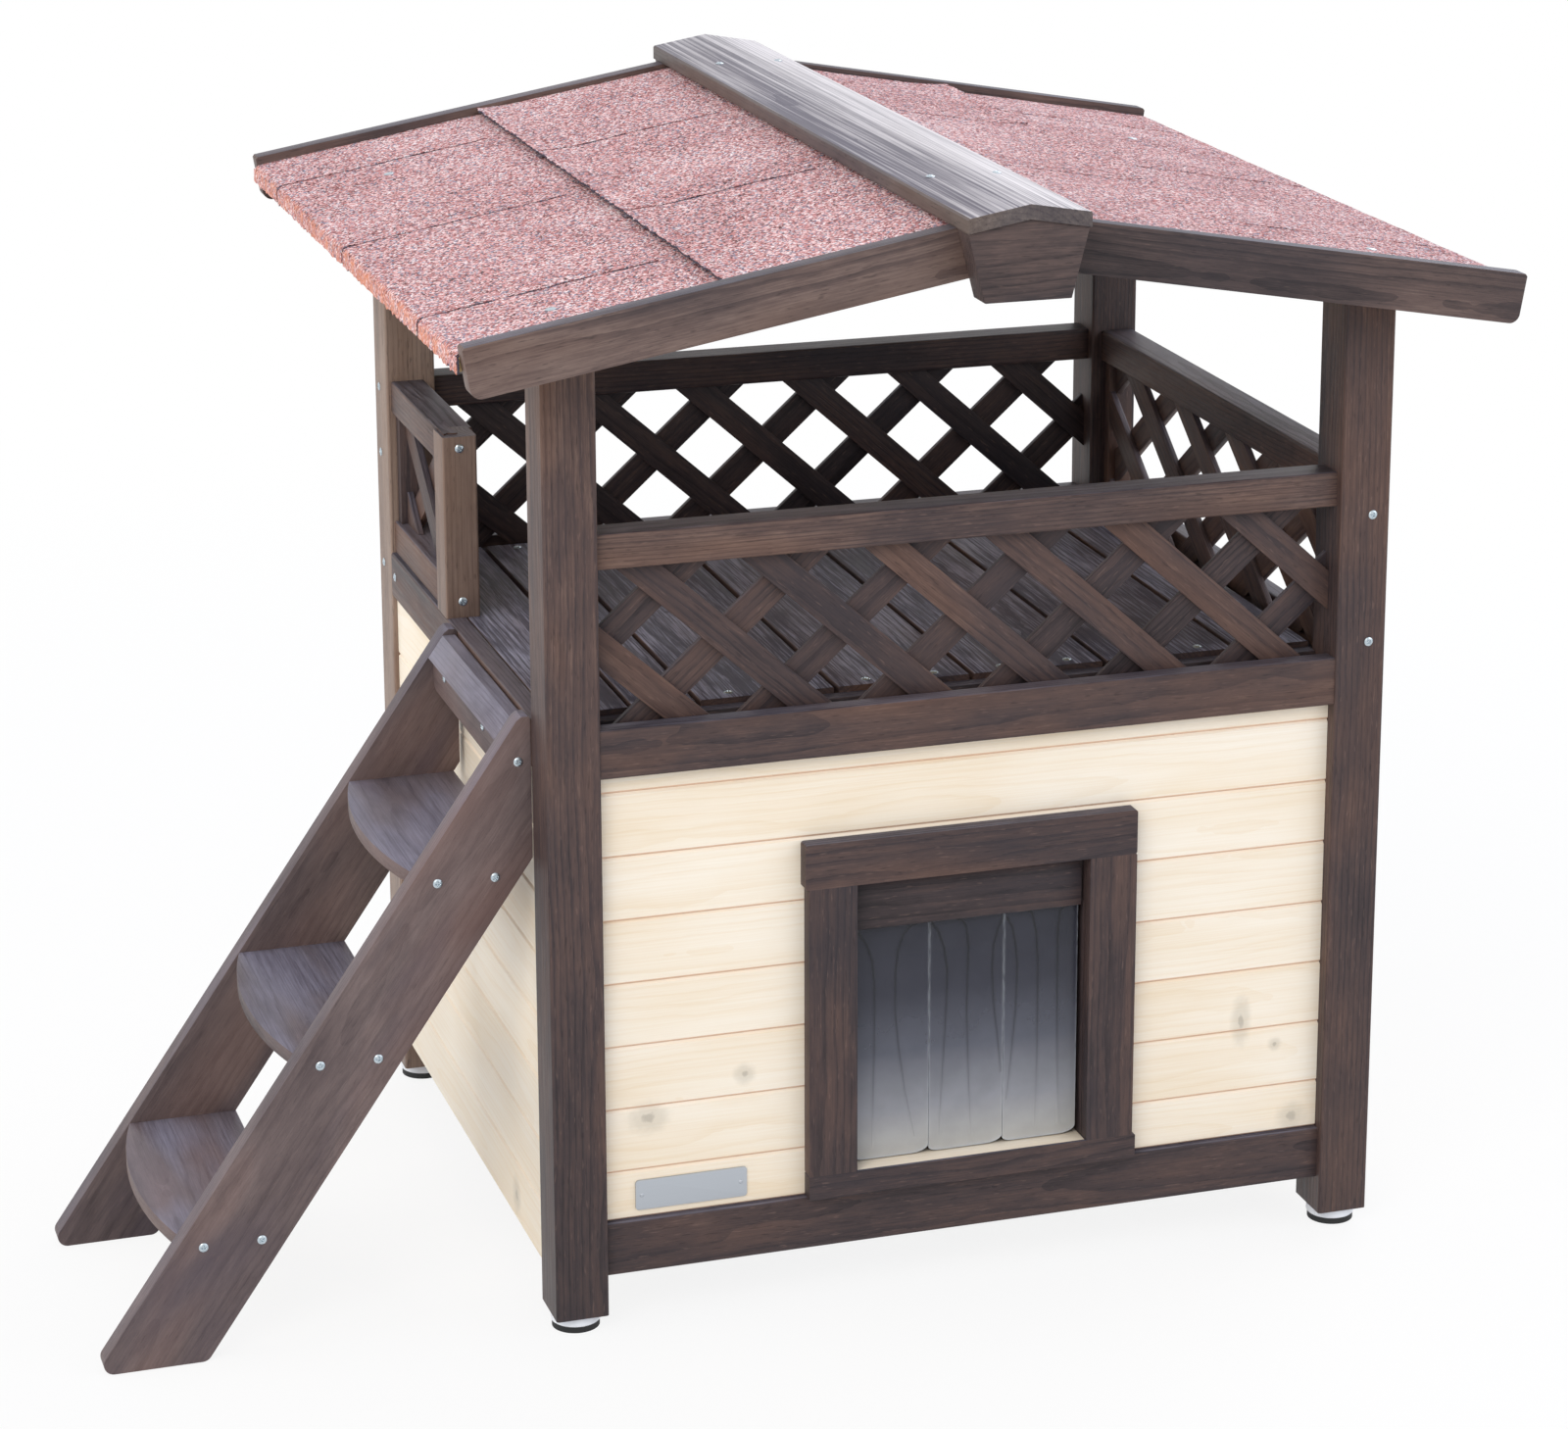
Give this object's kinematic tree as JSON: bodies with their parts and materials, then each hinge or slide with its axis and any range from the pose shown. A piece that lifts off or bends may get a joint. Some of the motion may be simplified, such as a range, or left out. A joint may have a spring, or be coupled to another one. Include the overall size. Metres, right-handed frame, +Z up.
{
  "type": "heated outdoor cat house",
  "caption": "Timber cat house: insulated heated cabin with a strip flap door, railed deck under a shingled gable roof, side stair and levelling feet.",
  "frame": {"origin": "on the ground, under the centre of the whole outline seen from above", "axes": "+X to the right seen from the front, along the eaves' span and away from the stair; +Y to the back; +Z up"},
  "size_m": [1.2075, 0.92, 0.9763],
  "materials": {
    "stained_timber": "satin",
    "weathered_deck": "matte",
    "cream_boards": "satin",
    "bare_timber": "matte",
    "plywood": "matte",
    "foam": "matte",
    "mat_plastic": "satin",
    "gland_plastic": "satin",
    "flap_vinyl": "gloss",
    "shingle": "matte",
    "foot_plastic": "satin",
    "foot_rubber": "matte",
    "bare_steel": "satin",
    "zinc_screws": "satin"
  },
  "bodies": {
    "house": {"post_front_left": "stained_timber", "post_front_right": "stained_timber", "post_back_left": "stained_timber", "post_back_right": "stained_timber", "lower_rails": "stained_timber", "belt_front": "stained_timber", "belt_back": "stained_timber", "side_belts": "stained_timber", "handrails": "stained_timber", "lattice_front": "stained_timber", "lattice_back": "stained_timber", "right_fence_rail": "stained_timber", "right_fence_lattice": "stained_timber", "left_fence_rails": "stained_timber", "left_fence_end_post": "stained_timber", "left_fence_lattice": "stained_timber", "fence_stiles": "stained_timber", "door_head": "stained_timber", "door_jambs": "stained_timber", "door_sill": "stained_timber", "door_frame": "stained_timber", "flap_header": "stained_timber", "barge_boards": "stained_timber", "ridge_blocks": "stained_timber", "deck_boards": "weathered_deck", "stair_treads": "weathered_deck", "stair_stringers": "weathered_deck", "stair_top_plank": "weathered_deck", "stair_fixing_board": "weathered_deck", "ridge_cap": "weathered_deck", "front_boards": "cream_boards", "back_boards": "cream_boards", "left_boards": "cream_boards", "right_boards": "cream_boards", "door_threshold": "cream_boards", "inner_battens": "bare_timber", "roof_frame": "bare_timber", "cabin_floor": "plywood", "cabin_ceiling": "plywood", "inner_lining": "plywood", "roof_panels": "plywood", "insulation": "foam", "heating_mat": "mat_plastic", "cable_gland": "gland_plastic", "shingles_left": "shingle", "shingles_right": "shingle", "name_plate": "bare_steel", "screws": "zinc_screws"},
    "foot_front_left": {"foot_disc_front_left": "foot_plastic", "foot_pad_front_left": "foot_rubber"},
    "foot_front_right": {"foot_disc_front_right": "foot_plastic", "foot_pad_front_right": "foot_rubber"},
    "foot_back_left": {"foot_disc_back_left": "foot_plastic", "foot_pad_back_left": "foot_rubber"},
    "foot_back_right": {"foot_disc_back_right": "foot_plastic", "foot_pad_back_right": "foot_rubber"},
    "flap_left": {"flap_strip_left": "flap_vinyl"},
    "flap_middle": {"flap_strip_middle": "flap_vinyl"},
    "flap_right": {"flap_strip_right": "flap_vinyl"}
  },
  "joints": [
    {"name": "foot_front_left_screw_travel", "type": "slide", "parent": "house", "child": "foot_front_left", "axis": [0, 0, -1], "range_m": [0, 0.01]},
    {"name": "foot_front_right_screw_travel", "type": "slide", "parent": "house", "child": "foot_front_right", "axis": [0, 0, -1], "range_m": [0, 0.01]},
    {"name": "foot_back_left_screw_travel", "type": "slide", "parent": "house", "child": "foot_back_left", "axis": [0, 0, -1], "range_m": [0, 0.01]},
    {"name": "foot_back_right_screw_travel", "type": "slide", "parent": "house", "child": "foot_back_right", "axis": [0, 0, -1], "range_m": [0, 0.01]},
    {"name": "flap_left_swing", "type": "hinge", "parent": "house", "child": "flap_left", "pos_m": [0.07559, -0.3295, 0.3306], "axis": [1, 0, 0], "range_deg": [-75, 75]},
    {"name": "flap_middle_swing", "type": "hinge", "parent": "house", "child": "flap_middle", "pos_m": [0.14376, -0.3295, 0.3306], "axis": [1, 0, 0], "range_deg": [-75, 75]},
    {"name": "flap_right_swing", "type": "hinge", "parent": "house", "child": "flap_right", "pos_m": [0.21193, -0.3295, 0.3306], "axis": [1, 0, 0], "range_deg": [-75, 75]}
  ]
}
